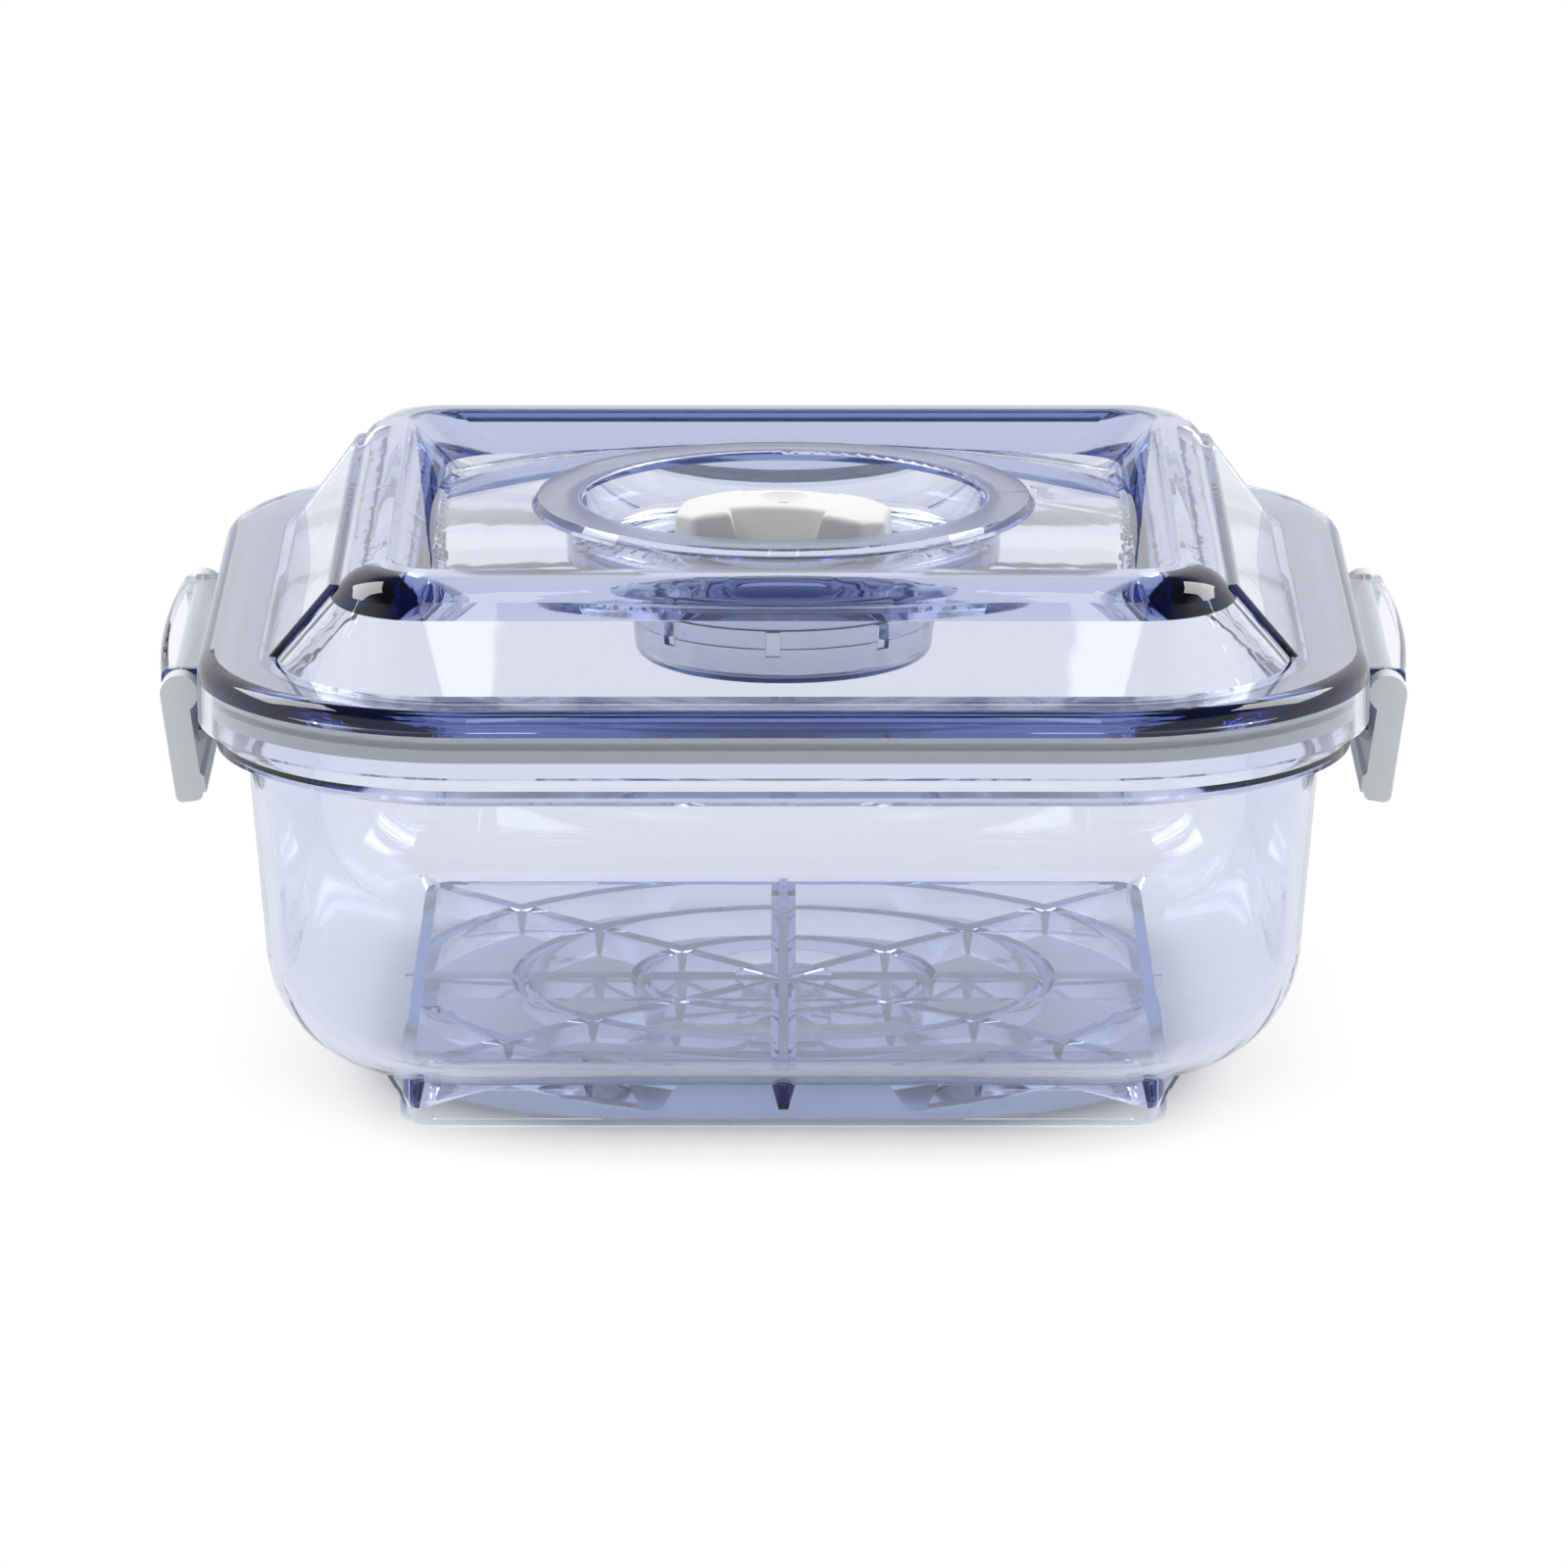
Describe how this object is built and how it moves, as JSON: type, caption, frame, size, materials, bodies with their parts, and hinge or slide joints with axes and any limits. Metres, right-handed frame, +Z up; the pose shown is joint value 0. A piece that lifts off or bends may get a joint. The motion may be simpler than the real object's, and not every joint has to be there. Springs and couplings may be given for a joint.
{
  "type": "vacuum seal canister",
  "caption": "Low near-square clear food canister with a clamped clear lid, hinged side clips, silicone gasket and a turn-knob vacuum valve in a round well.",
  "frame": {"origin": "centre of the foot's underside, on the surface that the canister stands on", "axes": "+X towards the right clip, +Y towards the back, +Z up"},
  "size_m": [0.2386, 0.21, 0.1075],
  "materials": {
    "tinted_clear": "clear copolyester with a blue tint, polished",
    "frosted_clear": "clear plastic with a lightly frosted wall",
    "grey_silicone": "soft translucent grey silicone",
    "white_clip": "cool white moulded plastic, satin",
    "white_knob": "warm white moulded plastic, satin",
    "valve_plastic": "blue-grey moulded plastic"
  },
  "bodies": {
    "container": {"container": "tinted_clear"},
    "lid": {"lid_shell": "tinted_clear", "lid_gasket": "grey_silicone", "splash_cup": "frosted_clear"},
    "left_clip": {"left_clip": "white_clip"},
    "right_clip": {"right_clip": "white_clip"},
    "knob": {"valve_knob": "white_knob", "knob_o_ring": "grey_silicone", "valve_disc": "grey_silicone", "disc_carrier": "valve_plastic", "retaining_ring": "valve_plastic", "check_valve_seat": "valve_plastic"},
    "check_valve": {"check_valve": "grey_silicone"}
  },
  "joints": [
    {"name": "lid_lift", "type": "slide", "parent": "container", "child": "lid", "axis": [0, 0, 1], "range_m": [0, 0.12]},
    {"name": "left_clip_hinge", "type": "hinge", "parent": "lid", "child": "left_clip", "pos_m": [-0.114, 0, 0.0774], "axis": [0, 1, 0], "range_deg": [0, 85]},
    {"name": "right_clip_hinge", "type": "hinge", "parent": "lid", "child": "right_clip", "pos_m": [0.114, 0, 0.0774], "axis": [0, -1, 0], "range_deg": [0, 85]},
    {"name": "knob_turn", "type": "hinge", "parent": "lid", "child": "knob", "pos_m": [0, 0, 0.0955], "axis": [0, 0, 1], "range_deg": [0, 90]},
    {"name": "check_valve_lift", "type": "slide", "parent": "knob", "child": "check_valve", "axis": [0, 0, 1], "range_m": [0, 0.0012]}
  ]
}
